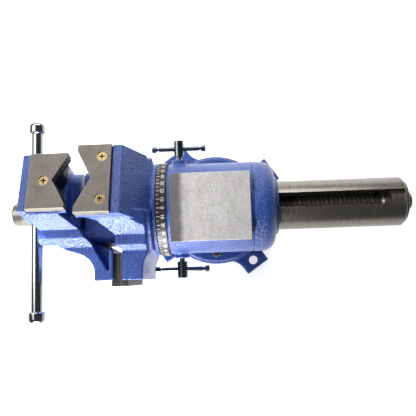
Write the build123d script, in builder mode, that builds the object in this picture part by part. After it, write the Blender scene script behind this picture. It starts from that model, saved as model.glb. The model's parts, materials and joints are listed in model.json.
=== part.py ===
from build123d import *
import os
from math import cos, radians, sin, sqrt

# A multi-purpose bench vise with a rotating head on a swivel base.
# Millimetres, +Z up. The origin is the centre of the four mounting holes on the
# underside of the base; +X points along the slide tube, away from the handle.

os.makedirs("parts", exist_ok=True)

# ---- driving dimensions -------------------------------------------------------
AXIS_HEIGHT = 135.0        # slide tube axis above the bench
HEAD_ROLL = -6.0           # how far the head is turned about the tube axis
V_LEAN = -14.0             # the V plates lean this much further than the head
KEY_TURN = -5.0            # the nut's key and the tube's slot, from the head's top
BASE_TURN = 35.0           # how far the base is turned under the housing
HANDLE_ROLL = 4.0          # how far the handle is off level
RUN = 0.08                 # running fit, radial
FREE = 0.3                 # free clearance between moving faces

# swivel base
BASE_R = 84.0
BASE_H = 30.0
LUG_REACH = 112.0
LUG_WIDTH = 40.0
LUG_H = 14.0
BOLT_CIRCLE_R = 99.0
BOLT_HOLE_R = 7.0
LOCK_CIRCLE_R = 64.0       # circle of the swivel lock bolts
SLOT_HALF = 5.5            # half width of the T-slot's mouth
SLOT_DEEP_HALF = 9.0       # half width of the T-slot's wide part

# housing
FOOT_R = 80.0
FOOT_TOP = 44.0
PEDESTAL_X = -3.0          # the pedestal stands a little forward of the pivot
PEDESTAL_LENGTH = 100.0
PEDESTAL_WIDTH = 90.0
DRUM_R = 60.0
DRUM_FRONT = -61.0
DRUM_REAR = 49.0
COVER_REAR = 78.0
ANVIL_TOP = AXIS_HEIGHT + 63.0
ANVIL_X = (-56.0, 44.6)
ANVIL_HALF = 42.3
NECK_R = 42.0
SHOULDER_X = 34.0          # the neck's retaining ring bears here
COUNTERBORE_R = 52.0
RING_FRONT = -73.7
RING_R = 62.6
SPIGOT_R = 59.0
CLAMP_X = -47.0            # the two T-handle clamp screws
CLAMP_BAR_AT = 81.5        # their bars, measured from the tube axis
CLAMP_BAR_HALF = 36.5

# slide tube, nut and spindle
TUBE_R = 32.5
TUBE_BORE_R = 26.0
TUBE_X = (-203.0, 246.5)
TUBE_SLOT = 19.0
TUBE_SLOT_X = -14.0
NUT_X = (-2.0, 34.0)
NUT_R = 25.7
KEY_WIDTH = 18.4
KEY_X = (4.0, 28.0)
THREAD_R = 12.0
THREAD_ROOT_R = 9.6
THREAD_PITCH = 6.0
THREAD_X = (-126.0, 222.0)
SPINDLE_END = 261.0
HEAD_X = (-272.5, -229.8)
HEAD_R = 16.0
HANDLE_X = -243.0
HANDLE_R = 7.75
HANDLE_HALF = 136.5
HANDLE_SHIFT = -10.0
KNOB_R = 11.25
KNOB_LENGTH = 16.0

# rotating head: X positions, and distances across (side) and up from the axis
FLANGE_X = (-79.0, -74.0)
FLANGE_R = 62.0
NECK_END = 46.0
HUB_HALF = 46.0            # half width of both hubs
HUB_UP = 48.0
REAR_HUB_X = -165.0
FRONT_HUB_X = (-225.5, -170.0)
FRONT_BLOCK_X = -230.0     # front face of the front V block
SEAT_UP = 91.0             # V plates sit here
LIP_UP = 96.0              # lip behind each V plate
OVERHANG_UP = 85.5         # both V blocks are cut back below this
PLATE_THICK = 9.0
REAR_PLATE_X = (-163.0, -122.0)
REAR_PLATE_SIDE = (-40.0, 48.0)
REAR_LIP_X = -110.0
FRONT_PLATE_X = (-219.5, -174.0)
FRONT_PLATE_SIDE = (-34.0, 38.0)
REAR_NOTCH = (17.8, 36.0, 3.8)     # depth, half width, centre
FRONT_NOTCH = (17.0, 31.0, 2.0)
NOTCH_FROM_UP = 66.0
V_SCREWS_REAR = ((-133.0, 31.5), (-133.0, -23.5))
V_SCREWS_FRONT = ((-201.0, 2.0),)
JAW_HALF = 61.0            # half width of the flat jaws
CHEEK_HALF = 55.0          # flat jaw plates sit between cheeks
TIP_SIDE = -93.0
CLOSE_X = -118.7           # the flat jaws meet here
CLOSED_GAP = 0.5
JAW_PLATE_THICK = 10.2
JAW_PLATE_SIDE = (-100.5, -60.0)
JAW_SCREWS = ((-80.0, 34.0), (-80.0, -34.0))
REAR_SEAT_X = CLOSE_X + JAW_PLATE_THICK
FRONT_SEAT_X = CLOSE_X - CLOSED_GAP - JAW_PLATE_THICK
REAR_CHEEK_X = -115.5
FRONT_CHEEK_X = -126.4
ARM_BACK_X = -90.0         # back of the rear arm
ARM_FRONT_X = -149.5       # front of the front arm
TURNED_X = CLAMP_X - CLAMP_BAR_HALF - 1.0
TURNED_R = CLAMP_BAR_AT - 5.5
PIN_PLACES = ((-186.0, 22.0), (-186.0, -22.0))
COLLAR_X = (-214.6, -204.6)
BOSS_X = -227.2            # the thrust washer's face on the front jaw

# ---- planes --------------------------------------------------------------------
AXIS_POINT = Vector(0, 0, AXIS_HEIGHT)


def head_planes(roll):
    """Three planes through the axis, turned with the head: seen from above its top
    (x along, y side), seen along the axis (x side, y up), and seen from its side
    (x along, y up)."""
    side = Vector(0, cos(radians(roll)), sin(radians(roll)))
    up = Vector(0, -sin(radians(roll)), cos(radians(roll)))
    return (
        Plane(AXIS_POINT, x_dir=(1, 0, 0), z_dir=up),
        Plane(AXIS_POINT, x_dir=side, z_dir=(1, 0, 0)),
        Plane(AXIS_POINT, x_dir=(1, 0, 0), z_dir=-side),
    )


HEAD_TOP, HEAD_CROSS, HEAD_PROFILE = head_planes(HEAD_ROLL)
V_TOP, V_CROSS, V_PROFILE = head_planes(HEAD_ROLL + V_LEAN)
KEY_TOP = head_planes(HEAD_ROLL + KEY_TURN)[0]
AXIS_CROSS = Plane(AXIS_POINT, x_dir=(0, 1, 0), z_dir=(1, 0, 0))   # level, x to +Y
BAR_DIR = Vector(0, cos(radians(HANDLE_ROLL)), -sin(radians(HANDLE_ROLL)))
BAR_PLANE = Plane((HANDLE_X, 0, AXIS_HEIGHT), x_dir=(1, 0, 0), z_dir=BAR_DIR)


def save(builder, name):
    """Label a finished piece and write it as one STEP file."""
    builder.part.label = name
    export_step(builder.part, f"parts/{name}.step")


def polygon(points, mode=Mode.ADD):
    """A filled outline inside the current sketch."""
    return Polygon(*points, align=None, mode=mode)


def notch_points(front_x, towards, notch):
    """Triangle of a V notch that opens at front_x."""
    depth, half, centre = notch
    reach = 1.0
    spread = half * (depth + reach) / depth
    return [
        (front_x - towards * reach, centre - spread),
        (front_x - towards * reach, centre + spread),
        (front_x + towards * depth, centre),
    ]


def hexagon_screw(builder_plane, head_r, head_h, shank_r, shank_h):
    """A hex-headed screw with its head above the plane and its shank below."""
    with BuildSketch(builder_plane) as head:
        RegularPolygon(head_r, 6)
    extrude(head.sketch, amount=head_h)
    with BuildSketch(builder_plane) as shank:
        Circle(shank_r)
    extrude(shank.sketch, amount=-shank_h)


# ---- swivel base ---------------------------------------------------------------
with BuildPart() as swivel_base:
    with BuildSketch(Plane.XY):
        Circle(BASE_R)
        with PolarLocations(LUG_REACH / 2, 4, start_angle=BASE_TURN):
            Rectangle(LUG_REACH, LUG_WIDTH)
        corners = vertices().sort_by(lambda v: sqrt(v.X**2 + v.Y**2))
        fillet(corners[:8], 26)
        fillet(corners[8:], 4)
    extrude(amount=LUG_H)
    with BuildSketch(Plane.XY.offset(LUG_H)):
        Circle(BASE_R)
    extrude(amount=BASE_H - LUG_H)
    top_rim = edges().filter_by(GeomType.CIRCLE).group_by(Axis.Z)[-1]
    fillet(top_rim, 2.0)
    with PolarLocations(BOLT_CIRCLE_R, 4, start_angle=BASE_TURN):
        Cylinder(BOLT_HOLE_R, 4 * LUG_H, mode=Mode.SUBTRACT)
    # circular T-slot for the lock bolts
    with BuildSketch(Plane.XY.offset(12.0)):
        Circle(LOCK_CIRCLE_R + SLOT_DEEP_HALF)
        Circle(LOCK_CIRCLE_R - SLOT_DEEP_HALF, mode=Mode.SUBTRACT)
    extrude(amount=10.0, mode=Mode.SUBTRACT)
    with BuildSketch(Plane.XY.offset(20.0)):
        Circle(LOCK_CIRCLE_R + SLOT_HALF)
        Circle(LOCK_CIRCLE_R - SLOT_HALF, mode=Mode.SUBTRACT)
    extrude(amount=BASE_H, mode=Mode.SUBTRACT)
    # pivot bolt hole, with room for its head underneath
    with BuildSketch(Plane.XY):
        Circle(18.0)
    extrude(amount=14.0, mode=Mode.SUBTRACT)
    with BuildSketch(Plane.XY):
        Circle(8.0 + RUN)
    extrude(amount=BASE_H, mode=Mode.SUBTRACT)
save(swivel_base, "swivel_base")

# ---- housing and what is fixed to it ---------------------------------------------
with BuildPart() as body_housing:
    with BuildSketch(Plane.XY.offset(BASE_H)):
        Circle(FOOT_R)
    extrude(amount=FOOT_TOP - BASE_H)
    foot_rim = edges().filter_by(GeomType.CIRCLE).group_by(Axis.Z)[-1]
    fillet(foot_rim, 3.0)
    # pedestal, flared where it meets the foot
    with BuildSketch(Plane((PEDESTAL_X, 0, FOOT_TOP))):
        RectangleRounded(112, 108, 30)
    with BuildSketch(Plane((PEDESTAL_X, 0, FOOT_TOP + 12))):
        RectangleRounded(PEDESTAL_LENGTH, PEDESTAL_WIDTH, 26)
    loft()
    with BuildSketch(Plane((PEDESTAL_X, 0, FOOT_TOP + 12))):
        RectangleRounded(PEDESTAL_LENGTH, PEDESTAL_WIDTH, 26)
    extrude(amount=AXIS_HEIGHT - FOOT_TOP - 12)
    # drum and the spigot that carries the scale ring
    with BuildSketch(AXIS_CROSS.offset(DRUM_FRONT)):
        Circle(DRUM_R)
    extrude(amount=DRUM_REAR - DRUM_FRONT)
    with BuildSketch(AXIS_CROSS.offset(RING_FRONT)):
        Circle(SPIGOT_R)
    extrude(amount=DRUM_FRONT - RING_FRONT)
    # anvil pad with one rounded corner
    with BuildSketch(Plane.XY.offset(AXIS_HEIGHT)):
        with BuildLine():
            Polyline(
                (ANVIL_X[0], -ANVIL_HALF),
                (ANVIL_X[1], -ANVIL_HALF),
                (ANVIL_X[1], ANVIL_HALF),
                (ANVIL_X[0], ANVIL_HALF),
                close=True,
            )
        make_face()
        fillet(vertices().sort_by(Axis.X)[:2].sort_by(Axis.Y)[-1], 9.0)
    extrude(amount=ANVIL_TOP - AXIS_HEIGHT)
    # bosses for the two clamp screws
    with BuildSketch(Plane.XZ.offset(-66.0)):
        with Locations((CLAMP_X, AXIS_HEIGHT)):
            Circle(10.0)
    extrude(amount=132.0)
    # bore for the head's neck, counterbore for its retaining ring
    with BuildSketch(AXIS_CROSS.offset(RING_FRONT)):
        Circle(NECK_R + RUN)
    extrude(amount=DRUM_REAR - RING_FRONT, mode=Mode.SUBTRACT)
    with BuildSketch(AXIS_CROSS.offset(SHOULDER_X)):
        Circle(COUNTERBORE_R)
    extrude(amount=DRUM_REAR - SHOULDER_X, mode=Mode.SUBTRACT)
    # clamp screw holes
    with BuildSketch(Plane.XZ.offset(-70.0)):
        with Locations((CLAMP_X, AXIS_HEIGHT)):
            Circle(5.1)
    extrude(amount=140.0, mode=Mode.SUBTRACT)
    # holes for the lock bolts and the pivot bolt
    with BuildSketch(Plane.XY.offset(BASE_H)):
        with Locations((0, LOCK_CIRCLE_R), (0, -LOCK_CIRCLE_R)):
            Circle(4.0 + FREE)
    extrude(amount=FOOT_TOP - BASE_H, mode=Mode.SUBTRACT)
    with BuildSketch(Plane.XY.offset(BASE_H)):
        Circle(8.0)
    extrude(amount=42.0, mode=Mode.SUBTRACT)
save(body_housing, "body_housing")

with BuildPart() as scale_ring:
    with BuildSketch(AXIS_CROSS.offset(RING_FRONT)):
        Circle(RING_R)
        Circle(SPIGOT_R, mode=Mode.SUBTRACT)
    extrude(amount=DRUM_FRONT - RING_FRONT)
    chamfer(edges().filter_by(GeomType.CIRCLE).sort_by(lambda e: -e.radius)[:2], 0.6)
save(scale_ring, "scale_ring")

with BuildPart() as rear_cover:
    with BuildSketch(AXIS_CROSS.offset(DRUM_REAR)):
        Circle(DRUM_R)
    extrude(amount=COVER_REAR - DRUM_REAR)
    fillet(faces().sort_by(Axis.X)[-1].edges(), 17.0)
    with BuildSketch(AXIS_CROSS.offset(COVER_REAR)):
        Circle(38.5)
    extrude(amount=4.0)
    # spigot that centres the cover in the housing
    with BuildSketch(AXIS_CROSS.offset(44.5)):
        Circle(COUNTERBORE_R - 0.1)
    extrude(amount=DRUM_REAR - 44.5)
    with BuildSketch(AXIS_CROSS.offset(44.5)):
        Circle(45.0)
    extrude(amount=21.5, mode=Mode.SUBTRACT)
    with BuildSketch(AXIS_CROSS.offset(40.0)):
        Circle(TUBE_R + 0.6)
    extrude(amount=60.0, mode=Mode.SUBTRACT)
    # radial set screw holes on the lower half
    for angle in (-30, -90, -150):
        direction = Vector(0, cos(radians(angle)), sin(radians(angle)))
        with BuildSketch(Plane(AXIS_POINT + Vector(56, 0, 0) + direction * 50, z_dir=direction)):
            Circle(3.0)
        extrude(amount=20.0, mode=Mode.SUBTRACT)
save(rear_cover, "rear_cover")

with BuildPart() as cover_screws:
    for angle in (-30, -90, -150):
        direction = Vector(0, cos(radians(angle)), sin(radians(angle)))
        with BuildSketch(Plane(AXIS_POINT + Vector(56, 0, 0) + direction * 50, z_dir=direction)):
            Circle(3.0)
        extrude(amount=9.0)
        with BuildSketch(Plane(AXIS_POINT + Vector(56, 0, 0) + direction * 59, z_dir=direction)):
            RegularPolygon(1.6, 6)
        extrude(amount=-3.0, mode=Mode.SUBTRACT)
save(cover_screws, "cover_screws")

# brass pads that the clamp screws press on the neck
with BuildPart() as clamp_pads:
    for sense in (1, -1):
        with BuildSketch(Plane((CLAMP_X, sense * (NECK_R + 0.6), AXIS_HEIGHT), z_dir=(0, sense, 0))):
            Circle(5.0)
        extrude(amount=4.4)
save(clamp_pads, "clamp_pads")

# pivot bolt and washer, from below
with BuildPart() as pivot_bolt:
    hexagon_screw(Plane.XY.offset(11.0).rotated((180, 0, 0)), 13.0, 9.5, 8.0, 60.0)
save(pivot_bolt, "pivot_bolt")

with BuildPart() as pivot_washer:
    with BuildSketch(Plane.XY.offset(11.0)):
        Circle(15.0)
        Circle(8.0, mode=Mode.SUBTRACT)
    extrude(amount=3.0 - 0.1)
save(pivot_washer, "pivot_washer")

# T-nuts in the circular slot
with BuildPart() as lock_t_nuts:
    with BuildSketch(Plane.XY.offset(12.6)):
        with Locations((0, LOCK_CIRCLE_R), (0, -LOCK_CIRCLE_R)):
            Rectangle(20.0, 16.0)
            Circle(4.0 + RUN, mode=Mode.SUBTRACT)
    extrude(amount=8.8)
save(lock_t_nuts, "lock_t_nuts")

with BuildPart() as lock_washers:
    with BuildSketch(Plane.XY.offset(FOOT_TOP)):
        with Locations((0, LOCK_CIRCLE_R), (0, -LOCK_CIRCLE_R)):
            Circle(8.2)
            Circle(4.0 + FREE, mode=Mode.SUBTRACT)
    extrude(amount=1.6)
save(lock_washers, "lock_washers")

for side_name, sense in (("left", 1), ("right", -1)):
    with BuildPart() as lock_bolt:
        hexagon_screw(
            Plane((0, sense * LOCK_CIRCLE_R, FOOT_TOP + 1.7), x_dir=(1, 0, 0), z_dir=(0, 0, 1)),
            7.4, 5.5, 4.0, 31.0,
        )
        chamfer(edges().group_by(Axis.Z)[-1], 0.6)
    save(lock_bolt, f"swivel_lock_bolt_{side_name}")

    # clamp screw with a cross hole, and its sliding bar
    with BuildPart() as clamp_screw:
        screw_plane = Plane((CLAMP_X, 0, AXIS_HEIGHT), x_dir=(1, 0, 0), z_dir=(0, sense, 0))
        with BuildSketch(screw_plane.offset(47.4)):
            Circle(5.0)
        extrude(amount=17.0)
        with BuildSketch(screw_plane.offset(64.4)):
            Circle(3.6)
        extrude(amount=8.0)
        with BuildSketch(screw_plane.offset(71.0)):
            Circle(6.8)
        extrude(amount=21.6)
        chamfer(faces().sort_by(Axis.Y)[-1 if sense > 0 else 0].edges(), 0.8)
        with BuildSketch(Plane((CLAMP_X - 10, sense * CLAMP_BAR_AT, AXIS_HEIGHT), z_dir=(1, 0, 0))):
            Circle(3.0 + RUN)
        extrude(amount=20.0, mode=Mode.SUBTRACT)
    save(clamp_screw, f"clamp_screw_{side_name}")

    with BuildPart() as clamp_bar:
        bar_centre = Vector(CLAMP_X, sense * CLAMP_BAR_AT, AXIS_HEIGHT)
        with BuildSketch(Plane(bar_centre, x_dir=(0, 1, 0), z_dir=(0, 0, 1))):
            # half outline of one end, mirrored: x is the radius, y runs along the bar
            with BuildLine():
                end = [
                    (3.0, 26.8), (2.2, 27.5), (2.2, 29.5), (4.2, 31.0), (4.2, CLAMP_BAR_HALF - 1),
                    (3.2, CLAMP_BAR_HALF), (0, CLAMP_BAR_HALF),
                ]
                Polyline(*end, *[(r, -along) for r, along in reversed(end)], close=True)
            make_face()
        revolve(axis=Axis(bar_centre, (1, 0, 0)))
    save(clamp_bar, f"clamp_bar_{side_name}")

# ---- rotating head: rear jaw ------------------------------------------------------
def cheeks(x_near, x_far):
    """Two side cheeks that hold the ends of a flat jaw plate."""
    for low in (CHEEK_HALF, -JAW_HALF):
        with BuildSketch(HEAD_TOP.offset(low)) as cheek:
            polygon([(x_near, -56), (x_far, -56), (x_far, TIP_SIDE), (x_near, TIP_SIDE)])
        extrude(cheek.sketch, amount=JAW_HALF - CHEEK_HALF)


with BuildPart() as rear_jaw:
    # flared shoulder on the flat jaw's side: slope, ledge and step
    with BuildSketch(HEAD_CROSS.offset(-152.0)):
        polygon([
            (-10, 0), (-10, 96), (-15, 96), (-38.5, 70), (-51, 70), (-57, JAW_HALF), (-57, 0),
        ])
    extrude(amount=FLANGE_X[0] + 152.0)
    with BuildSketch(HEAD_PROFILE):
        polygon([
            (-170, -1), (-170, 110), (-164, 110), (-151, 97), (-123, 70),
            (REAR_CHEEK_X, JAW_HALF), (REAR_SEAT_X, CHEEK_HALF), (REAR_SEAT_X, -1),
        ])
        polygon([(-113, 95), (-86, 80), (-79, 71), (-70, 71), (-70, 120), (-113, 120)])
    extrude(amount=80, mode=Mode.SUBTRACT)
    # neck that turns in the housing, and its flange
    with BuildSketch(HEAD_CROSS.offset(FLANGE_X[0])):
        Circle(NECK_R)
    extrude(amount=NECK_END - FLANGE_X[0])
    with BuildSketch(HEAD_CROSS.offset(FLANGE_X[0])):
        Circle(FLANGE_R)
    extrude(amount=FLANGE_X[1] - FLANGE_X[0])
    # hub round the tube
    with BuildSketch(HEAD_CROSS.offset(REAR_HUB_X)):
        RectangleRounded(2 * HUB_HALF, 2 * HUB_UP, 10)
    extrude(amount=FLANGE_X[0] - REAR_HUB_X)
    # V block: overhanging seat, lip behind the plate, slope down to the flange
    with BuildSketch(V_PROFILE.offset(-REAR_PLATE_SIDE[1] - 1)):
        polygon([
            (REAR_PLATE_X[0], OVERHANG_UP), (REAR_PLATE_X[0], SEAT_UP),
            (REAR_PLATE_X[1] + 0.4, SEAT_UP), (REAR_PLATE_X[1] + 0.4, LIP_UP),
            (REAR_LIP_X, LIP_UP), (FLANGE_X[0], 58), (FLANGE_X[0], 30), (-121, 30), (-121, 50),
            (-154, OVERHANG_UP),
        ])
    extrude(amount=REAR_PLATE_SIDE[1] - REAR_PLATE_SIDE[0] + 2)
    # arm of the flat jaw
    with BuildSketch(HEAD_TOP.offset(-JAW_HALF)):
        with BuildLine():
            Polyline(
                (-79, -52), (-79, -40), (REAR_SEAT_X, -40), (REAR_SEAT_X, TIP_SIDE),
                (ARM_BACK_X, TIP_SIDE), (ARM_BACK_X, -80),
            )
            ThreePointArc((ARM_BACK_X, -80), (-87.2, -68.5), (-81, -57.7))
            Line((-81, -57.7), (-79, -52))
        make_face()
    extrude(amount=2 * JAW_HALF)
    cheeks(REAR_CHEEK_X, REAR_SEAT_X)
    # turned down next to the flange, clear of the clamp bars as the head turns
    with BuildSketch(HEAD_CROSS.offset(TURNED_X)):
        Circle(2 * TURNED_R)
        Circle(TURNED_R, mode=Mode.SUBTRACT)
    extrude(amount=FLANGE_X[1] - TURNED_X, mode=Mode.SUBTRACT)
    # V notch
    with BuildSketch(V_TOP.offset(NOTCH_FROM_UP)):
        polygon(notch_points(REAR_PLATE_X[0], 1, REAR_NOTCH))
    extrude(amount=60, mode=Mode.SUBTRACT)
    # screw holes in both seats
    with BuildSketch(V_TOP.offset(SEAT_UP)):
        with Locations(*V_SCREWS_REAR):
            Circle(3.5)
    extrude(amount=-18, mode=Mode.SUBTRACT)
    with BuildSketch(HEAD_CROSS.offset(REAR_SEAT_X)):
        with Locations(*JAW_SCREWS):
            Circle(3.5)
    extrude(amount=12, mode=Mode.SUBTRACT)
    # bore for the slide tube, keyway pocket for the nut's key
    with BuildSketch(HEAD_CROSS.offset(REAR_HUB_X)):
        Circle(TUBE_R + RUN)
    extrude(amount=NECK_END - REAR_HUB_X, mode=Mode.SUBTRACT)
    with BuildSketch(KEY_TOP.offset(30)):
        with Locations(((KEY_X[0] + KEY_X[1]) / 2, 0)):
            Rectangle(KEY_X[1] - KEY_X[0], KEY_WIDTH)
    extrude(amount=8.5, mode=Mode.SUBTRACT)
    with BuildSketch(KEY_TOP.offset(30)):
        with Locations((KEY_X[0] + 7, 0), (KEY_X[1] - 7, 0)):
            Circle(2.5)
    extrude(amount=15, mode=Mode.SUBTRACT)
save(rear_jaw, "rear_jaw")

with BuildPart() as neck_ring:
    with BuildSketch(HEAD_CROSS.offset(SHOULDER_X + FREE)):
        Circle(50.0)
        Circle(NECK_R, mode=Mode.SUBTRACT)
    extrude(amount=9.0)
save(neck_ring, "neck_retaining_ring")

with BuildPart() as spindle_nut:
    with BuildSketch(HEAD_CROSS.offset(NUT_X[0])):
        Circle(NUT_R)
        Circle(THREAD_R + FREE, mode=Mode.SUBTRACT)
    extrude(amount=NUT_X[1] - NUT_X[0])
    with BuildSketch(KEY_TOP.offset(20)):
        with Locations(((KEY_X[0] + KEY_X[1]) / 2, 0)):
            Rectangle(KEY_X[1] - KEY_X[0], KEY_WIDTH)
    extrude(amount=8.0, mode=Mode.SUBTRACT)
save(spindle_nut, "spindle_nut")

with BuildPart() as nut_key:
    with BuildSketch(KEY_TOP.offset(20)):
        with Locations(((KEY_X[0] + KEY_X[1]) / 2, 0)):
            Rectangle(KEY_X[1] - KEY_X[0], KEY_WIDTH)
        with Locations((KEY_X[0] + 7, 0), (KEY_X[1] - 7, 0)):
            Circle(2.5, mode=Mode.SUBTRACT)
    extrude(amount=18.0)
save(nut_key, "nut_key")

with BuildPart() as key_screws:
    with BuildSketch(KEY_TOP.offset(24)):
        with Locations((KEY_X[0] + 7, 0), (KEY_X[1] - 7, 0)):
            Circle(2.5)
    extrude(amount=17.0)
save(key_screws, "nut_key_screws")


# ---- plates and their screws --------------------------------------------------------
V_SCREW_PLANE = V_TOP.offset(SEAT_UP + PLATE_THICK - 1.0)    # screw heads lie 1 mm deep


def v_plate(x_range, side_range, notch, towards, screws, name):
    """Hardened plate with a V notch, countersunk for its screws."""
    with BuildPart() as plate:
        with BuildSketch(V_TOP.offset(SEAT_UP)):
            polygon([
                (x_range[0], side_range[0]), (x_range[1], side_range[0]),
                (x_range[1], side_range[1]), (x_range[0], side_range[1]),
            ])
            front = x_range[0] if towards > 0 else x_range[1]
            polygon(notch_points(front, towards, notch), mode=Mode.SUBTRACT)
        extrude(amount=PLATE_THICK)
        chamfer(faces().sort_by(lambda f: -f.center().dot(V_TOP.z_dir))[0].edges(), 0.7)
        with Locations(*[V_SCREW_PLANE.location * Pos(x, y, 0) for x, y in screws]):
            CounterSinkHole(3.5, 5.9, counter_sink_angle=90)
        with BuildSketch(V_SCREW_PLANE):
            with Locations(*screws):
                Circle(6.1)
        extrude(amount=1.0, mode=Mode.SUBTRACT)
    save(plate, name)


def countersunk_screws(plane, places, head_r, length, name):
    """Countersunk screws with a cross recess; heads flush with the plane."""
    with BuildPart() as screws:
        for x, y in places:
            centre = plane.from_local_coords(Vector(x, y, 0))
            spot = Plane(centre, x_dir=plane.x_dir, z_dir=plane.z_dir)
            with BuildSketch(spot):
                Circle(head_r)
            with BuildSketch(spot.offset(3.5 - head_r)):
                Circle(3.5)
            loft()
            with BuildSketch(spot.offset(3.5 - head_r)):
                Circle(3.5)
            extrude(amount=head_r - 3.5 - length)
            with BuildSketch(spot):
                Rectangle(6.4, 1.5)
                Rectangle(1.5, 6.4)
            extrude(amount=-1.8, mode=Mode.SUBTRACT)
    save(screws, name)


v_plate(REAR_PLATE_X, REAR_PLATE_SIDE, REAR_NOTCH, 1, V_SCREWS_REAR, "rear_v_plate")
v_plate(FRONT_PLATE_X, FRONT_PLATE_SIDE, FRONT_NOTCH, -1, V_SCREWS_FRONT, "front_v_plate")
countersunk_screws(V_SCREW_PLANE, V_SCREWS_REAR, 5.8, 24.0, "rear_v_plate_screws")
countersunk_screws(V_SCREW_PLANE, V_SCREWS_FRONT, 5.8, 24.0, "front_v_plate_screw")


def jaw_plate(face_x, back, name):
    """Serrated flat jaw plate; back is +1 when its casting lies towards +X."""
    with BuildPart() as plate:
        with BuildSketch(HEAD_CROSS.offset(face_x)):
            with Locations((sum(JAW_PLATE_SIDE) / 2, 0)):
                Rectangle(JAW_PLATE_SIDE[1] - JAW_PLATE_SIDE[0], 2 * CHEEK_HALF - 0.2)
        extrude(amount=back * JAW_PLATE_THICK)
        chamfer(faces().sort_by(Axis.X)[0 if back > 0 else -1].edges(), 0.8)
        # crossed serrations on the gripping face
        with BuildSketch(HEAD_CROSS.offset(face_x)):
            for k in range(-13, 14):
                with Locations((sum(JAW_PLATE_SIDE) / 2, 4.0 * k)):
                    Rectangle(JAW_PLATE_SIDE[1] - JAW_PLATE_SIDE[0] - 4, 0.8)
        extrude(amount=back * 0.6, mode=Mode.SUBTRACT)
        head_x = face_x + back * 1.0
        outward = Plane(HEAD_CROSS.offset(head_x).origin, x_dir=HEAD_CROSS.x_dir, z_dir=(-back, 0, 0))
        spots = [(side, -back * up) for side, up in JAW_SCREWS]
        with Locations(*[outward.location * Pos(x, y, 0) for x, y in spots]):
            CounterSinkHole(3.5, 5.9, counter_sink_angle=90)
        with BuildSketch(HEAD_CROSS.offset(face_x)):
            with Locations(*JAW_SCREWS):
                Circle(6.1)
        extrude(amount=back * 1.0, mode=Mode.SUBTRACT)
    save(plate, name)
    countersunk_screws(outward, spots, 5.8, 18.0, name + "_screws")


jaw_plate(CLOSE_X, 1, "rear_jaw_plate")
jaw_plate(CLOSE_X - CLOSED_GAP, -1, "front_jaw_plate")

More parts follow.
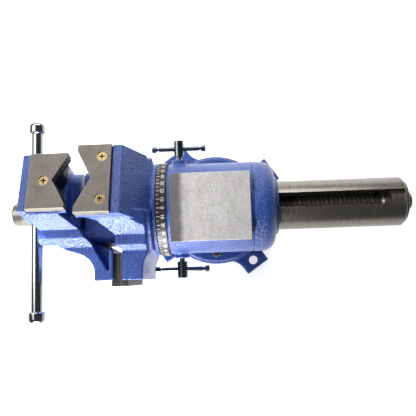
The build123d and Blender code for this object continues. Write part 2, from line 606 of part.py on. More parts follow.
# ---- front jaw and slide tube --------------------------------------------------------
with BuildPart() as front_jaw:
    # flared shoulder on the flat jaw's side: slope, ledge and step
    with BuildSketch(HEAD_CROSS.offset(FRONT_HUB_X[0])):
        polygon([
            (-10, 0), (-10, 96), (-14, 96), (-30, 70), (-40, 70), (-52, JAW_HALF), (-52, 0),
        ])
    extrude(amount=-150.0 - FRONT_HUB_X[0])
    with BuildSketch(HEAD_TOP):
        polygon([
            (-240, -12), (-226, -12), (-213.5, -31), (-206.6, -41.8), (-183, -55.5), (-180, -90),
            (-240, -90),
        ])
        polygon([(-183, -9), (-183, -14), (-165, -31), (-158, -41), (-149, -51), (-149, -9)])
    extrude(amount=120, mode=Mode.SUBTRACT)
    # hub, and a boss for the thrust washer
    with BuildSketch(HEAD_CROSS.offset(FRONT_HUB_X[0])):
        RectangleRounded(2 * HUB_HALF, 2 * HUB_UP, 16)
    extrude(amount=FRONT_HUB_X[1] - FRONT_HUB_X[0])
    with BuildSketch(HEAD_CROSS.offset(BOSS_X)):
        Circle(24)
    extrude(amount=10)
    # V block with a lip in front of the plate and an overhanging seat
    with BuildSketch(V_PROFILE.offset(-FRONT_PLATE_SIDE[1] - 1)):
        polygon([
            (FRONT_HUB_X[0], 20), (FRONT_HUB_X[0], 50), (FRONT_BLOCK_X, 56), (FRONT_BLOCK_X, LIP_UP),
            (FRONT_PLATE_X[0] - 0.4, LIP_UP), (FRONT_PLATE_X[0] - 0.4, SEAT_UP), (FRONT_PLATE_X[1], SEAT_UP),
            (FRONT_PLATE_X[1], OVERHANG_UP), (-183, OVERHANG_UP), (-183, 20),
        ])
    extrude(amount=FRONT_PLATE_SIDE[1] - FRONT_PLATE_SIDE[0] + 2)
    # arm of the flat jaw
    with BuildSketch(HEAD_TOP.offset(-JAW_HALF)):
        with BuildLine():
            Polyline(
                (ARM_FRONT_X, -80), (ARM_FRONT_X, TIP_SIDE), (FRONT_SEAT_X, TIP_SIDE),
                (FRONT_SEAT_X, -56), (-150, -46), (-172, -31), (-205, -31), (-206.6, -41.8),
                (-183, -55.5), (-169.2, -59.6),
            )
            ThreePointArc((-169.2, -59.6), (-156, -67.5), (ARM_FRONT_X, -80))
        make_face()
    extrude(amount=2 * JAW_HALF)
    cheeks(FRONT_SEAT_X, FRONT_CHEEK_X)
    # three-cornered pocket in each side of the arm
    for low, high in ((38.0, JAW_HALF + 1), (-JAW_HALF - 1, -38.0)):
        with BuildSketch(HEAD_TOP.offset(low)):
            polygon([(-155, -44), (-131.9, -44), (-131.9, -84)])
        extrude(amount=high - low, mode=Mode.SUBTRACT)
    # room for the rear jaw's hub
    with BuildSketch(HEAD_CROSS.offset(REAR_HUB_X - 0.5)):
        RectangleRounded(2 * HUB_HALF + 1, 2 * HUB_UP + 1, 10)
    extrude(amount=60, mode=Mode.SUBTRACT)
    # V notch
    with BuildSketch(V_TOP.offset(NOTCH_FROM_UP)):
        polygon(notch_points(FRONT_PLATE_X[1], -1, FRONT_NOTCH))
    extrude(amount=60, mode=Mode.SUBTRACT)
    # screw holes in both seats
    with BuildSketch(V_TOP.offset(SEAT_UP)):
        with Locations(*V_SCREWS_FRONT):
            Circle(3.5)
    extrude(amount=-18, mode=Mode.SUBTRACT)
    with BuildSketch(HEAD_CROSS.offset(FRONT_SEAT_X)):
        with Locations(*JAW_SCREWS):
            Circle(3.5)
    extrude(amount=-12, mode=Mode.SUBTRACT)
    # bores: slide tube, spindle collar, spindle journal
    with BuildSketch(HEAD_CROSS.offset(TUBE_X[0])):
        Circle(TUBE_R)
    extrude(amount=FRONT_HUB_X[1] - TUBE_X[0] + 20, mode=Mode.SUBTRACT)
    with BuildSketch(HEAD_CROSS.offset(-215)):
        Circle(21)
    extrude(amount=20, mode=Mode.SUBTRACT)
    with BuildSketch(HEAD_CROSS.offset(-240)):
        Circle(THREAD_R + RUN)
    extrude(amount=40, mode=Mode.SUBTRACT)
    # cross pins through hub and tube
    with BuildSketch(HEAD_TOP.offset(-HUB_UP - 1)):
        with Locations(*PIN_PLACES):
            Circle(4)
    extrude(amount=40, mode=Mode.SUBTRACT)
save(front_jaw, "front_jaw")

with BuildPart() as slide_tube:
    with BuildSketch(HEAD_CROSS.offset(TUBE_X[0])):
        Circle(TUBE_R)
        Circle(TUBE_BORE_R, mode=Mode.SUBTRACT)
    extrude(amount=TUBE_X[1] - TUBE_X[0])
    with BuildSketch(KEY_TOP):
        with Locations(((TUBE_SLOT_X + TUBE_X[1] + 20) / 2, 0)):
            SlotOverall(TUBE_X[1] + 20 - TUBE_SLOT_X, TUBE_SLOT)
    extrude(amount=60, mode=Mode.SUBTRACT)
    with BuildSketch(HEAD_TOP.offset(-HUB_UP - 1)):
        with Locations(*PIN_PLACES):
            Circle(4)
    extrude(amount=40, mode=Mode.SUBTRACT)
    chamfer(faces().sort_by(Axis.X)[-1].edges().filter_by(GeomType.CIRCLE).sort_by(
        lambda e: -e.radius)[0], 1.0)
save(slide_tube, "slide_tube")

with BuildPart() as tube_pins:
    with BuildSketch(HEAD_TOP.offset(-HUB_UP + 0.5)):
        with Locations(*PIN_PLACES):
            Circle(4)
    extrude(amount=30)
save(tube_pins, "tube_pins")

with BuildPart() as end_plug:
    with BuildSketch(HEAD_CROSS.offset(229)):
        Circle(TUBE_BORE_R)
    extrude(amount=17.5)
    with BuildSketch(HEAD_CROSS.offset(246.5)):
        Circle(28.5)
    extrude(amount=4.5)
    fillet(faces().sort_by(Axis.X)[-1].edges(), 1.5)
    with BuildSketch(HEAD_CROSS.offset(220)):
        Circle(THREAD_R + RUN)
    extrude(amount=40, mode=Mode.SUBTRACT)
save(end_plug, "tube_end_plug")

with BuildPart() as thrust_washer:
    with BuildSketch(HEAD_CROSS.offset(BOSS_X - 2.4)):
        Circle(19)
        Circle(THREAD_R + RUN, mode=Mode.SUBTRACT)
    extrude(amount=2.4)
save(thrust_washer, "thrust_washer")

# ---- spindle -------------------------------------------------------------------------
with BuildPart() as spindle:
    with BuildSketch(Plane((0, 0, AXIS_HEIGHT), x_dir=(1, 0, 0), z_dir=(0, -1, 0))):
        with BuildLine():
            ridges = []
            count = int((THREAD_X[1] - THREAD_X[0]) / THREAD_PITCH)
            for k in range(count):
                start = THREAD_X[0] + k * THREAD_PITCH
                ridges += [
                    (start, THREAD_ROOT_R), (start + 1.6, THREAD_ROOT_R), (start + 2.4, THREAD_R),
                    (start + 5.2, THREAD_R),
                ]
            Polyline(
                (HEAD_X[0], 0), (HEAD_X[0], HEAD_R - 3), (HEAD_X[0] + 3, HEAD_R), (HEAD_X[1], HEAD_R),
                (HEAD_X[1], THREAD_R), (-150, THREAD_R), *ridges,
                (THREAD_X[1], THREAD_ROOT_R), (THREAD_X[1] + 4, THREAD_R),
                (SPINDLE_END - 10, THREAD_R), (SPINDLE_END - 10, 0), close=True,
            )
        make_face()
    revolve(axis=Axis((0, 0, AXIS_HEIGHT), (1, 0, 0)))
    with BuildSketch(BAR_PLANE.offset(-30)):
        Circle(HANDLE_R + RUN)
    extrude(amount=60, mode=Mode.SUBTRACT)
save(spindle, "spindle")

with BuildPart() as spindle_collar:
    with BuildSketch(AXIS_CROSS.offset(COLLAR_X[0])):
        Circle(20)
        Circle(THREAD_R, mode=Mode.SUBTRACT)
    extrude(amount=COLLAR_X[1] - COLLAR_X[0])
    with BuildSketch(Plane.XY.offset(AXIS_HEIGHT - 30)):
        with Locations((sum(COLLAR_X) / 2, 0)):
            Circle(2.5)
    extrude(amount=60, mode=Mode.SUBTRACT)
save(spindle_collar, "spindle_collar")

with BuildPart() as collar_pin:
    for sense in (1, -1):
        pin_foot = (sum(COLLAR_X) / 2, 0, AXIS_HEIGHT + sense * THREAD_R)
        with BuildSketch(Plane(pin_foot, z_dir=(0, 0, sense))):
            Circle(2.5)
        extrude(amount=7.6)
save(collar_pin, "collar_pins")

with BuildPart() as spindle_cap:
    with BuildSketch(AXIS_CROSS.offset(SPINDLE_END - 10)):
        Circle(THREAD_R)
    extrude(amount=10)
    fillet(faces().sort_by(Axis.X)[-1].edges(), 3)
save(spindle_cap, "spindle_end_cap")

# ---- handle --------------------------------------------------------------------------
with BuildPart() as handle_bar:
    with BuildSketch(BAR_PLANE.offset(HANDLE_SHIFT - HANDLE_HALF + 4)):
        Circle(HANDLE_R)
    extrude(amount=2 * HANDLE_HALF - 8)
save(handle_bar, "handle_bar")

with BuildPart() as handle_knobs:
    for sense in (1, -1):
        start = HANDLE_SHIFT + sense * (HANDLE_HALF - KNOB_LENGTH)
        with BuildSketch(BAR_PLANE.offset(start)):
            Circle(KNOB_R)
        extrude(amount=sense * KNOB_LENGTH)
    fillet(edges().filter_by(GeomType.CIRCLE).sort_by(Axis.Y)[1:-1], 3.0)
    rims = edges().filter_by(GeomType.CIRCLE).sort_by(Axis.Y)
    fillet([rims[0], rims[-1]], 6.0)
    with BuildSketch(BAR_PLANE.offset(HANDLE_SHIFT - HANDLE_HALF + 4)):
        Circle(HANDLE_R)
    extrude(amount=2 * HANDLE_HALF - 8, mode=Mode.SUBTRACT)
save(handle_knobs, "handle_knobs")
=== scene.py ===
import json
from math import cos, floor, pi, radians, sin

import bpy
from mathutils import Matrix, Vector


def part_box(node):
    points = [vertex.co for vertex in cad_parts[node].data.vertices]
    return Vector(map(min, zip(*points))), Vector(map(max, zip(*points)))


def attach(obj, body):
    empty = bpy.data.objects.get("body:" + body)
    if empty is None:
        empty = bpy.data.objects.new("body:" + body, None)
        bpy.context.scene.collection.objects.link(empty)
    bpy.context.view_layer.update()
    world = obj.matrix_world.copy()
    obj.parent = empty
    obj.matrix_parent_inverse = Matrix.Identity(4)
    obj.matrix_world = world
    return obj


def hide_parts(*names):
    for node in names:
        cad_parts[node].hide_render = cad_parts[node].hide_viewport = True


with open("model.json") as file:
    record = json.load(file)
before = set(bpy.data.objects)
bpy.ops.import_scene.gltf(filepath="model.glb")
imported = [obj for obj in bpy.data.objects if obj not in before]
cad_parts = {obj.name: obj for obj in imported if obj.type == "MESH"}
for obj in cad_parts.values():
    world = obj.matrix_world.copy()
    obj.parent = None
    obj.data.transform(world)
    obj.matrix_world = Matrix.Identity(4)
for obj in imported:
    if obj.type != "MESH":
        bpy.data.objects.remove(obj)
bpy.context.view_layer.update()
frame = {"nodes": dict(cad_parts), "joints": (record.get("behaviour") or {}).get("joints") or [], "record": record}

# Looks for the bench vise: rounded castings, a helical thread, a numbered degree
# scale, and a procedural material for every piece. Metres, same frame as the CAD.

NODES = frame["nodes"]
SLOTS = {part["node"]: part["material_slot"] for part in frame["record"]["subparts"]}

AXIS = Vector((0.0, 0.0, frame["joints"][1]["pos_m"][2]))   # tube axis passes here, along X
V_ROLL = radians(-20)                                       # the V plates' lean about it
MM = 0.001


# ---- material graphs --------------------------------------------------------------
class Graph:
    """One material's node tree, built node by node. Patterns use object coordinates."""

    def __init__(self, name):
        self.material = bpy.data.materials.new(name)
        self.material.use_nodes = True
        self.tree = self.material.node_tree
        self.tree.nodes.clear()
        self.place = self.node("ShaderNodeTexCoord").outputs["Object"]

    def node(self, kind, settings=None, inputs=None):
        made = self.tree.nodes.new(kind)
        for key, value in (settings or {}).items():
            setattr(made, key, value)
        for key, value in (inputs or {}).items():
            socket = made.inputs[key]
            if isinstance(value, bpy.types.NodeSocket):
                self.tree.links.new(value, socket)
            else:
                socket.default_value = value
        return made

    def noise(self, scale, detail=3.0, roughness=0.5, place=None):
        place = place or self.place
        inputs = {"Vector": place, "Scale": scale, "Detail": detail, "Roughness": roughness}
        return self.node("ShaderNodeTexNoise", inputs=inputs).outputs["Fac"]

    def cells(self, scale):
        inputs = {"Vector": self.place, "Scale": scale}
        return self.node("ShaderNodeTexVoronoi", inputs=inputs).outputs["Distance"]

    def math(self, operation, a, b):
        return self.node("ShaderNodeMath", {"operation": operation}, {0: a, 1: b}).outputs[0]

    def remap(self, value, low, high, to_low=0.0, to_high=1.0):
        inputs = {"Value": value, "From Min": low, "From Max": high, "To Min": to_low, "To Max": to_high}
        return self.node("ShaderNodeMapRange", inputs=inputs).outputs["Result"]

    def blend(self, factor, a, b):
        made = self.node("ShaderNodeMix", {"data_type": "RGBA"}, {0: factor, 6: a, 7: b})
        return made.outputs[2]

    def split(self, vector):
        return self.node("ShaderNodeSeparateXYZ", inputs={0: vector}).outputs

    def stretched(self, scale):
        inputs = {"Vector": self.place, "Scale": scale}
        return self.node("ShaderNodeMapping", inputs=inputs).outputs["Vector"]

    def v_place(self):
        """Object coordinates turned back so that the V plates lie level."""
        settings = {"rotation_type": "X_AXIS"}
        inputs = {"Vector": self.place, "Center": AXIS, "Angle": -V_ROLL}
        return self.node("ShaderNodeVectorRotate", settings, inputs).outputs["Vector"]

    def edges(self, radius):
        """About 1 on convex and concave edges, 0 on flats."""
        soft = self.node("ShaderNodeBevel", {"samples": 6}, {"Radius": radius}).outputs["Normal"]
        true = self.node("ShaderNodeNewGeometry").outputs["Normal"]
        dot = self.node("ShaderNodeVectorMath", {"operation": "DOT_PRODUCT"}, {0: soft, 1: true})
        return self.remap(dot.outputs["Value"], 0.995, 0.9)

    def rounded(self, radius):
        return self.node("ShaderNodeBevel", {"samples": 6}, {"Radius": radius}).outputs["Normal"]

    def bump(self, height, strength, distance, normal=None):
        inputs = {"Height": height, "Strength": strength, "Distance": distance}
        if normal is not None:
            inputs["Normal"] = normal
        return self.node("ShaderNodeBump", inputs=inputs).outputs["Normal"]

    def finish(self, **inputs):
        named = {key.replace("_", " "): value for key, value in inputs.items()}
        shader = self.node("ShaderNodeBsdfPrincipled", inputs=named)
        self.output(shader.outputs[0])
        return self.material

    def output(self, shader):
        self.node("ShaderNodeOutputMaterial", inputs={"Surface": shader})


def rgb(red, green, blue):
    """A colour given as display values from 0 to 255."""
    def linear(value):
        value /= 255
        return value / 12.92 if value <= 0.04045 else ((value + 0.055) / 1.055) ** 2.4
    return (linear(red), linear(green), linear(blue), 1.0)


BLUE = rgb(46, 88, 178)
BLUE_DEEP = rgb(33, 68, 150)


def paint_shader(graph):
    """Textured blue enamel: orange peel, small pits, slight colour drift."""
    drift = graph.noise(28, 4, 0.6)
    speckle = graph.noise(520, 3, 0.6)
    colour = graph.blend(graph.remap(drift, 0.35, 0.65), BLUE_DEEP, BLUE)
    colour = graph.blend(graph.remap(speckle, 0.62, 0.8, 0.0, 0.35), colour, rgb(96, 128, 208))
    fine_peel = graph.math("MULTIPLY", graph.noise(1100, 2, 0.5), 0.35)
    peel = graph.math("ADD", graph.noise(430, 2, 0.45), fine_peel)
    normal = graph.bump(peel, 1.0, 1.3 * MM)
    inputs = {
        "Base Color": colour,
        "Roughness": graph.remap(speckle, 0.3, 0.7, 0.3, 0.48),
        "Coat Weight": 0.6,
        "Coat Roughness": 0.2,
        "Normal": normal,
        "Coat Normal": normal,
    }
    return graph.node("ShaderNodeBsdfPrincipled", inputs=inputs).outputs[0]


def mix_shaders(graph, factor, a, b):
    graph.output(graph.node("ShaderNodeMixShader", inputs={0: factor, 1: a, 2: b}).outputs[0])


def painted():
    graph = Graph("blue_paint")
    graph.output(paint_shader(graph))
    return graph.material


def housing_paint():
    """Paint, with the anvil's flat machined bare and smudged near its front edge."""
    graph = Graph("blue_paint_anvil")
    top = frame["record"]["mounts"][2]["pos_m"][2]
    up = graph.split(graph.place)[2]
    flat = graph.remap(up, top - 0.6 * MM, top - 0.25 * MM)
    mix_shaders(graph, flat, paint_shader(graph), anvil_shader(graph))
    return graph.material


def anvil_shader(graph):
    """The anvil's milled face, with a dark smudge and scattered specks."""
    x, y, _ = graph.split(graph.place)
    grain = graph.noise(650, 4, 0.8)
    sweep = graph.noise(34, 3, 0.6, graph.stretched((3.0, 1.0, 1.0)))
    tone = graph.blend(graph.remap(grain, 0.36, 0.64), rgb(196, 193, 191), rgb(246, 244, 242))
    tone = graph.blend(graph.remap(sweep, 0.42, 0.7, 0.0, 0.3), tone, rgb(158, 152, 150))
    front = graph.remap(graph.math("ADD", x, graph.math("MULTIPLY", graph.noise(30, 3), 0.016)),
                        -0.018, -0.044)
    tone = graph.blend(graph.math("MULTIPLY", front, 0.3), tone, rgb(62, 58, 60))
    rim = graph.remap(graph.math("ADD", x, graph.math("MULTIPLY", graph.noise(120, 3), 0.004)),
                      -0.0365, -0.0425)
    tone = graph.blend(graph.math("MULTIPLY", rim, 0.7), tone, rgb(34, 31, 32))
    specks = graph.remap(graph.cells(160), 0.14, 0.05)
    near_corner = graph.math("MULTIPLY", graph.remap(x, 0.0, -0.045), graph.remap(y, 0.01, 0.036))
    specks = graph.math("MULTIPLY", specks, graph.remap(near_corner, 0.12, 0.4))
    tone = graph.blend(specks, tone, rgb(44, 38, 36))
    inputs = {
        "Base Color": tone,
        "Metallic": 0.3,
        "Roughness": graph.remap(grain, 0.3, 0.7, 0.5, 0.7),
        "Normal": graph.bump(grain, 0.4, 0.2 * MM),
    }
    return graph.node("ShaderNodeBsdfPrincipled", inputs=inputs).outputs[0]


def jaw_paint(name, notch_from, notch_to):
    """Paint, with the V notch's walls machined bare and coloured near-black as painted shade."""
    graph = Graph(name)
    x, side, up = graph.split(graph.v_place())
    notch_shade_mask = graph.math("MULTIPLY", graph.remap(x, notch_from, notch_from + 0.3 * MM),
                        graph.remap(x, notch_to, notch_to - 0.3 * MM))
    level = graph.math("SUBTRACT", up, AXIS.z)
    notch_shade_mask = graph.math("MULTIPLY", notch_shade_mask, graph.remap(level, 66 * MM, 66.5 * MM))
    notch_shade_mask = graph.math("MULTIPLY", notch_shade_mask, graph.remap(level, 90.6 * MM, 90.2 * MM))
    notch_shade_mask = graph.math("MULTIPLY", notch_shade_mask, graph.remap(side, -31.0 * MM, -30.5 * MM))
    # the notch walls get bare iron darkened to near-black: painted shade for the deep notch
    mix_shaders(graph, notch_shade_mask, paint_shader(graph), dark_iron_shader(graph))
    return graph.material


def dark_iron_shader(graph):
    grain = graph.noise(260, 5, 0.75)
    # near-black tone: painted shade over bare grey iron, not the iron's own colour
    tone = graph.blend(graph.remap(grain, 0.3, 0.7), rgb(24, 23, 23), rgb(56, 52, 47))
    inputs = {
        "Base Color": tone,
        "Metallic": 0.4,
        "Roughness": graph.remap(grain, 0.3, 0.7, 0.45, 0.7),
        "Normal": graph.bump(grain, 0.6, 0.3 * MM),
    }
    return graph.node("ShaderNodeBsdfPrincipled", inputs=inputs).outputs[0]


def plate_steel(name, painted_shade):
    """Hardened jaw steel: fine dark grain, edges lightened as wear and painted highlight; the second argument,
    from 0 to 1, darkens the whole plate as painted shade.
    """
    graph = Graph(name)
    grain = graph.noise(950, 5, 0.8)
    cloud = graph.noise(45, 4, 0.6)
    lay = graph.noise(80, 3, 0.6, graph.stretched((30.0, 1.0, 1.0)))
    tone = graph.blend(graph.remap(grain, 0.34, 0.66), rgb(88, 84, 79), rgb(142, 136, 128))
    tone = graph.blend(graph.remap(cloud, 0.42, 0.68, 0.0, 0.5), tone, rgb(92, 86, 80))
    tone = graph.blend(graph.remap(lay, 0.5, 0.8, 0.0, 0.3), tone, rgb(164, 156, 146))
    # darken the whole plate toward near-black: painted shade for plates lying in shadow
    tone = graph.blend(painted_shade, tone, rgb(30, 29, 28))
    # edges lightened to cream: partly wear, partly painted highlight of edge faces catching the light
    wear = graph.edges(0.9 * MM)
    tone = graph.blend(graph.math("MULTIPLY", wear, 0.8), tone, rgb(236, 226, 208))
    return graph.finish(
        Base_Color=tone, Metallic=0.6,
        Roughness=graph.remap(grain, 0.3, 0.7, 0.42, 0.62),
        Normal=graph.bump(grain, 0.4, 0.12 * MM, graph.rounded(0.5 * MM)),
    )


def turned_steel(name, light, dark, roughness, metallic=0.85):
    """Turned bar: fine rings round the tube axis, satin."""
    graph = Graph(name)
    rings = graph.noise(55, 4, 0.75, graph.stretched((26.0, 1.0, 1.0)))
    cloud = graph.noise(14, 3, 0.6)
    tone = graph.blend(graph.remap(rings, 0.35, 0.65), dark, light)
    tone = graph.blend(graph.remap(cloud, 0.45, 0.7, 0.0, 0.35), tone, dark)
    return graph.finish(
        Base_Color=tone, Metallic=metallic,
        Roughness=graph.remap(rings, 0.3, 0.7, roughness - 0.06, roughness + 0.1),
        Anisotropic=0.35,
        Normal=graph.bump(rings, 0.2, 0.08 * MM, graph.rounded(0.4 * MM)),
    )


def plated(name, colour, roughness):
    """Bright plating over drawn bar, with faint draw lines and dull patches."""
    graph = Graph(name)
    haze = graph.noise(60, 4, 0.6)
    fine = graph.noise(700, 3, 0.6)
    tone = graph.blend(graph.remap(haze, 0.35, 0.7, 0.0, 0.35), colour, rgb(150, 156, 158))
    return graph.finish(
        Base_Color=tone, Metallic=1.0,
        Roughness=graph.remap(haze, 0.3, 0.7, roughness, roughness + 0.12),
        Normal=graph.bump(fine, 0.12, 0.05 * MM, graph.rounded(0.4 * MM)),
    )


def scale_enamel():
    graph = Graph("scale_black")
    scuff = graph.noise(300, 4, 0.7)
    wear = graph.math("MULTIPLY", graph.edges(0.7 * MM), graph.remap(graph.noise(90, 3), 0.4, 0.6))
    tone = graph.blend(graph.remap(scuff, 0.4, 0.8), rgb(22, 22, 24), rgb(52, 51, 50))
    tone = graph.blend(graph.math("MULTIPLY", wear, 0.7), tone, rgb(170, 164, 152))
    return graph.finish(Base_Color=tone, Roughness=graph.remap(scuff, 0.3, 0.7, 0.35, 0.55),
                        Normal=graph.bump(scuff, 0.3, 0.1 * MM))


def white_fill():
    graph = Graph("scale_white")
    wear = graph.noise(700, 3, 0.6)
    tone = graph.blend(graph.remap(wear, 0.5, 0.75), rgb(235, 232, 224), rgb(120, 116, 108))
    return graph.finish(Base_Color=tone, Roughness=0.55)


def yellow_zinc(name, recess_shade):
    """Passivated zinc; the second argument darkens the V screws' drive recesses and below their rims as painted
    shade.
    """
    graph = Graph(name)
    tint = graph.noise(420, 3, 0.6)
    tone = graph.blend(graph.remap(tint, 0.35, 0.65), rgb(150, 128, 76), rgb(184, 166, 118))
    if recess_shade:
        level = graph.math("SUBTRACT", graph.split(graph.v_place())[2], AXIS.z)
        # near-black below the head's top: painted shade in the cross recess and countersink
        tone = graph.blend(graph.remap(level, 98.7 * MM, 98.3 * MM, 0.0, 0.92), tone, rgb(26, 21, 15))
    return graph.finish(Base_Color=tone, Metallic=0.9, Roughness=graph.remap(tint, 0.3, 0.7, 0.25, 0.4),
                        Normal=graph.bump(tint, 0.15, 0.08 * MM, graph.rounded(0.3 * MM)))


MATERIALS = {
    "blue_paint": painted(),
    "bare_iron": turned_steel("bare_iron", rgb(150, 146, 140), rgb(110, 106, 100), 0.45),
    "jaw_steel": plate_steel("jaw_steel", 0.0),
    "tube_steel": turned_steel("tube_steel", rgb(170, 165, 156), rgb(122, 117, 108), 0.32),
    "chrome": plated("chrome", rgb(166, 171, 173), 0.09),
    "scale_black": scale_enamel(),
    "zinc": yellow_zinc("zinc", False),
    "brass": turned_steel("brass", rgb(206, 176, 104), rgb(170, 140, 76), 0.3),
    "dark_steel": turned_steel("dark_steel", rgb(92, 90, 88), rgb(58, 56, 55), 0.4),
}


# pieces whose surface differs from the rest of their slot; a name stands for that piece's
OWN = {
    "rear_v_plate_screws": yellow_zinc("zinc_painted_recess_shade", True),
    "front_v_plate_screw": "rear_v_plate_screws",
    # flat jaw plates: steel darkened by 0.6 as painted shade for their place between the cheeks
    "rear_jaw_plate": plate_steel("jaw_steel_painted_shade", 0.6),
    "front_jaw_plate": "rear_jaw_plate",
    "clamp_screw_left": plated("chrome_dull", rgb(104, 113, 118), 0.16),
    "clamp_screw_right": "clamp_screw_left",
    "clamp_bar_left": "clamp_screw_left",
    "clamp_bar_right": "clamp_screw_left",
}


def material_for(node):
    found = OWN.get(node, MATERIALS[SLOTS[node]])
    return OWN[found] if isinstance(found, str) else found


def dress(piece, material):
    piece.data.materials.clear()
    piece.data.materials.append(material)


def shade(mesh, smooth):
    for polygon in mesh.polygons:
        polygon.use_smooth = smooth


# ---- rounded castings ----------------------------------------------------------------
def casting(node, body, material, voxel, rounds):
    """The node's shape with every edge softened as sand casting leaves it."""
    piece = bpy.data.objects.new(node + "_casting", NODES[node].data.copy())
    bpy.context.scene.collection.objects.link(piece)
    remesh = piece.modifiers.new("skin", "REMESH")
    remesh.mode = "VOXEL"
    remesh.voxel_size = voxel
    soften = piece.modifiers.new("soften", "SMOOTH")
    soften.factor = 0.5
    soften.iterations = rounds
    thin = piece.modifiers.new("thin", "DECIMATE")
    thin.ratio = 0.3
    bake_modifiers(piece)
    shade(piece.data, True)
    dress(piece, material)
    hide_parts(node)
    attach(piece, body)
    return piece


def bake_modifiers(piece):
    """Replace the mesh by its modified self."""
    graph = bpy.context.evaluated_depsgraph_get()
    mesh = bpy.data.meshes.new_from_object(piece.evaluated_get(graph))
    piece.modifiers.clear()
    piece.data = mesh


def castings():
    rear_notch = (-162.8 * MM, -144.6 * MM)
    front_notch = (-191.6 * MM, -174.3 * MM)
    casting("body_housing", "turret", housing_paint(), 1.0 * MM, 3)
    casting("rear_cover", "turret", MATERIALS["blue_paint"], 1.0 * MM, 3)
    casting("swivel_base", "base", MATERIALS["blue_paint"], 1.2 * MM, 4)
    casting("rear_jaw", "head", jaw_paint("blue_paint_rear_jaw", *rear_notch), 1.0 * MM, 5)
    casting("front_jaw", "front_jaw", jaw_paint("blue_paint_front_jaw", *front_notch), 1.0 * MM, 5)


# ---- spindle with its helical thread ---------------------------------------------------
def mesh_piece(name, vertices, faces, smooth=True):
    mesh = bpy.data.meshes.new(name)
    mesh.from_pydata([tuple(v) for v in vertices], [], faces)
    mesh.update()
    shade(mesh, smooth)
    piece = bpy.data.objects.new(name, mesh)
    bpy.context.scene.collection.objects.link(piece)
    return piece


def lathe(outline, around):
    """Vertices and faces of a surface turned about the tube axis; outline is (x, radius)."""
    vertices, faces = [], []
    for x, radius in outline:
        for k in range(around):
            turn = 2 * pi * k / around
            vertices.append(AXIS + Vector((x, radius * cos(turn), radius * sin(turn))))
    for row in range(len(outline) - 1):
        for k in range(around):
            a = row * around + k
            b = row * around + (k + 1) % around
            faces.append((a, b, b + around, a + around))
    return vertices, faces


def thread(start, end, root, crest, pitch, around=48):
    """A trapezoidal right-hand helix between two X positions, open at both ends."""
    profile = [(0.0, root), (0.28, root), (0.4, crest), (0.88, crest)]
    vertices, faces = [], []
    turns = int(floor((end - start) / pitch)) - 1
    rows = turns * len(profile) + 1
    for row in range(rows):
        along, radius = profile[row % len(profile)]
        base = start + (row // len(profile) + along) * pitch
        for k in range(around + 1):
            turn = 2 * pi * k / around
            x = base + pitch * k / around
            vertices.append(AXIS + Vector((x, radius * cos(turn), radius * sin(turn))))
    for row in range(rows - 1):
        for k in range(around):
            a = row * (around + 1) + k
            faces.append((a, a + 1, a + around + 2, a + around + 1))
    return vertices, faces


def spindle():
    low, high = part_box("spindle")
    head_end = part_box("thrust_washer")[0].x - 0.2 * MM
    head_r = (high.y - low.y) / 2
    shaft_r = 12.0 * MM
    root_r = 9.6 * MM
    first = -126.0 * MM
    last = 222.0 * MM
    front = [
        (low.x, 0.2 * MM), (low.x, head_r - 3 * MM), (low.x + 0.9 * MM, head_r - 0.9 * MM),
        (low.x + 3 * MM, head_r), (head_end - 1 * MM, head_r), (head_end, head_r - 1 * MM),
        (head_end, shaft_r), (first + 5 * MM, shaft_r), (first + 7.5 * MM, root_r - 0.1 * MM),
        (last - 1 * MM, root_r - 0.1 * MM), (last + 2 * MM, shaft_r), (high.x, shaft_r),
        (high.x, 0.2 * MM),
    ]
    vertices, faces = lathe(front, 64)
    count = len(vertices)
    more, more_faces = thread(first, last, root_r, shaft_r - 0.05 * MM, 6.0 * MM)
    vertices += more
    faces += [tuple(index + count for index in face) for face in more_faces]
    piece = mesh_piece("spindle_threaded", vertices, faces)
    drill_for_handle(piece)
    piece.data.set_sharp_from_angle(angle=radians(35))
    dress(piece, MATERIALS["tube_steel"])
    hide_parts("spindle")
    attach(piece, "spindle")


def drill_for_handle(piece):
    """Cross hole in the spindle's head for the handle bar."""
    low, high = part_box("handle_bar")
    slide = next(joint for joint in frame["joints"] if joint["name"] == "handle_slide")
    along = Vector(slide["axis"]).normalized()
    across = along.cross(Vector((1, 0, 0))).normalized()
    middle = Vector(((low.x + high.x) / 2, 0, AXIS.z))
    radius = (high.x - low.x) / 2 + 0.1 * MM
    around = 48
    vertices = []
    for end in (-0.03, 0.03):
        for k in range(around):
            turn = 2 * pi * k / around
            spoke = cos(turn) * Vector((1, 0, 0)) + sin(turn) * across
            vertices.append(middle + along * end + radius * spoke)
    faces = [tuple(range(around - 1, -1, -1)), tuple(range(around, 2 * around))]
    faces += [(k, (k + 1) % around, around + (k + 1) % around, around + k) for k in range(around)]
    drill = mesh_piece("drill", vertices, faces, False)
    cut = piece.modifiers.new("cross_hole", "BOOLEAN")
    cut.operation = "DIFFERENCE"
    cut.solver = "EXACT"
    cut.object = drill
    bake_modifiers(piece)
    bpy.data.objects.remove(drill)
    shade(piece.data, True)


# ---- degree scale ----------------------------------------------------------------------
def wrap(x, along, radius):
    """A point on the scale band: along runs round it from the top, seen from the handle."""
    turn = along / radius
    return AXIS + Vector((x, -radius * sin(turn), radius * cos(turn)))


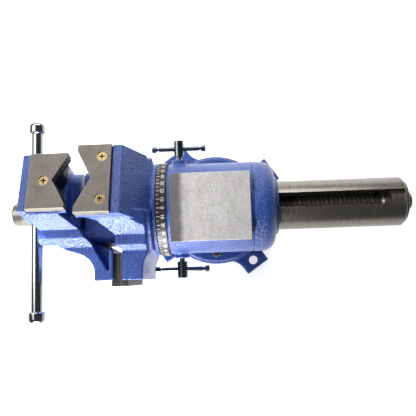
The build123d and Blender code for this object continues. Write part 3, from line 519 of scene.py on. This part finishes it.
def scale_marks():
    """White ticks every five degrees and a numeral every ten."""
    low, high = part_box("scale_ring")
    radius = (high.y - low.y) / 2 + 0.06 * MM
    vertices, faces = [], []
    for step in range(72):
        length = 4.6 * MM if step % 2 == 0 else 2.8 * MM
        middle = radians(5 * step) * radius
        start = len(vertices)
        for x in (low.x + 0.9 * MM, low.x + 0.9 * MM + length):
            for side in (-0.35 * MM, 0.35 * MM):
                vertices.append(wrap(x, middle + side, radius))
        faces.append((start, start + 1, start + 3, start + 2))
    ticks = mesh_piece("scale_ticks", vertices, faces, False)
    finish_mark(ticks)

    vertices, faces = [], []
    for step in range(36):
        degrees = step * 10
        folded = min(degrees % 180, 180 - degrees % 180)
        add_number(str(folded), radians(degrees) * radius, low.x + 6.6 * MM, radius, vertices, faces)
    finish_mark(mesh_piece("scale_numerals", vertices, faces, False))


def add_number(text, along, x, radius, vertices, faces):
    curve = bpy.data.curves.new("numeral", "FONT")
    curve.body = text
    curve.size = 6.0 * MM
    curve.align_x = "CENTER"
    curve.offset = 0.06 * MM
    shown = bpy.data.objects.new("numeral", curve)
    mesh = bpy.data.meshes.new_from_object(shown)
    start = len(vertices)
    for vertex in mesh.vertices:
        vertices.append(wrap(x + vertex.co.y, along + vertex.co.x, radius))
    faces += [tuple(start + index for index in polygon.vertices) for polygon in mesh.polygons]
    bpy.data.objects.remove(shown)
    bpy.data.curves.remove(curve)


def finish_mark(piece):
    dress(piece, white_fill())
    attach(piece, "turret")


# ---- studio -----------------------------------------------------------------------------
def area_light(name, place, target, size, power, spread):
    light = bpy.data.lights.new(name, "AREA")
    light.shape = "RECTANGLE"
    light.size, light.size_y = size
    light.energy = power
    light.spread = radians(spread)
    lamp = bpy.data.objects.new(name, light)
    lamp.location = place
    lamp.rotation_euler = (Vector(target) - Vector(place)).to_track_quat("-Z", "Y").to_euler()
    bpy.context.scene.collection.objects.link(lamp)


def studio():
    side = 6.0
    corners = [(-side, -side, 0), (side, -side, 0), (side, side, 0), (-side, side, 0)]
    below = Vector((0, 0, 0.2 * MM))
    ground = mesh_piece("floor", [Vector(corner) - below for corner in corners], [(0, 1, 2, 3)], False)
    graph = Graph("floor_pale")
    mottle = graph.noise(3.0, 2)
    tone = graph.blend(graph.remap(mottle, 0.3, 0.7), rgb(250, 250, 250), rgb(252, 252, 252))
    dress(ground, graph.finish(Base_Color=tone, Roughness=0.9, Emission_Color=(1, 1, 1, 1),
                               Emission_Strength=0.68))

    world = bpy.data.worlds.new("studio")
    world.use_nodes = True
    world.node_tree.nodes["Background"].inputs["Color"].default_value = (1, 1, 1, 1)
    world.node_tree.nodes["Background"].inputs["Strength"].default_value = 0.07
    bpy.context.scene.world = world

    area_light("key_softbox", (-0.26, -0.5, 0.26), (-0.22, -0.03, 0.17), (0.36, 0.34), 1.9, 60)
    area_light("fill_softbox", (-0.1, 0.85, 0.6), (0.05, 0, 0.14), (1.1, 0.5), 7, 180)
    area_light("top_softbox", (-0.95, 0.3, 1.1), (-0.05, 0, 0.12), (0.9, 0.9), 10, 180)
    bpy.context.scene.view_settings.view_transform = "Standard"


def camera():
    """Straight down from about two thirds of a metre above the tube axis."""
    eye = AXIS + Vector((3.8, -24.5, 669.0)) * MM
    target = AXIS + Vector((-10.0, 0.0, 0.0)) * MM
    lens = bpy.data.cameras.new("camera")
    lens.sensor_width = 36.0
    lens.lens = 42.8
    lens.clip_start = 0.01
    shot = bpy.data.objects.new("camera", lens)
    back = (eye - target).normalized()
    right = Vector((0, 1, 0)).cross(back).normalized()
    up = back.cross(right)
    tilt = Matrix.Rotation(radians(-2.0), 3, back)
    right, up = tilt @ right, tilt @ up
    turn = Matrix((right, up, back)).transposed().to_4x4()
    shot.matrix_world = Matrix.Translation(eye) @ turn
    bpy.context.scene.collection.objects.link(shot)
    bpy.context.scene.camera = shot


# ---- assembly ------------------------------------------------------------------------------
for node_name, cad_node in NODES.items():
    dress(cad_node, material_for(node_name))

camera()
studio()
castings()
spindle()
scale_marks()
